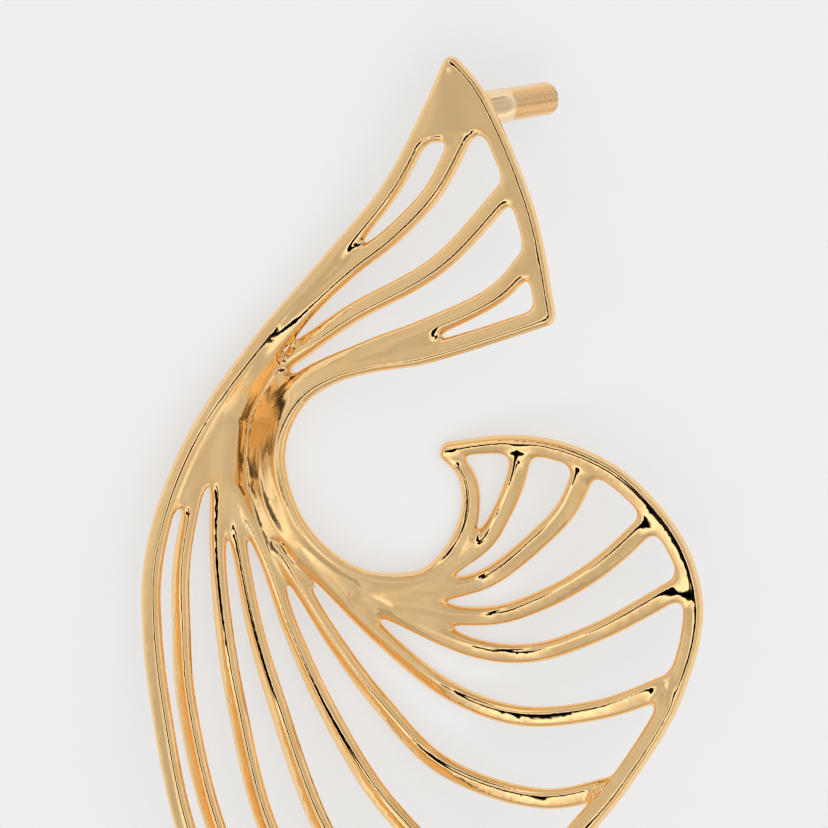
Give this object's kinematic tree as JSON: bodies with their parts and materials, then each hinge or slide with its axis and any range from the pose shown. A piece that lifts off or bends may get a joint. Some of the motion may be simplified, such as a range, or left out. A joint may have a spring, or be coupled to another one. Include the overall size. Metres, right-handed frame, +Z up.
{
  "type": "stud earring",
  "caption": "Openwork stud earring: one twisted sheet of polished gold ribs, fanned out above a narrow waist and curling below it into a shell, with a short threaded post behind the upper fan.",
  "frame": {"origin": "centre of the bounding box, on the surface the earring rests on", "axes": "the earring lies on its back: +Z is up, out of its front; +Y runs along it from the tip of the lower shell to the point of the upper fan; +X is to the right as it is seen from the front with the fan at the top"},
  "size_m": [0.0224, 0.0392, 0.0077],
  "materials": {
    "gold": "high polish 18 carat yellow gold, with no coating"
  },
  "bodies": {
    "root": {"stud_earring": "gold"}
  },
  "joints": []
}
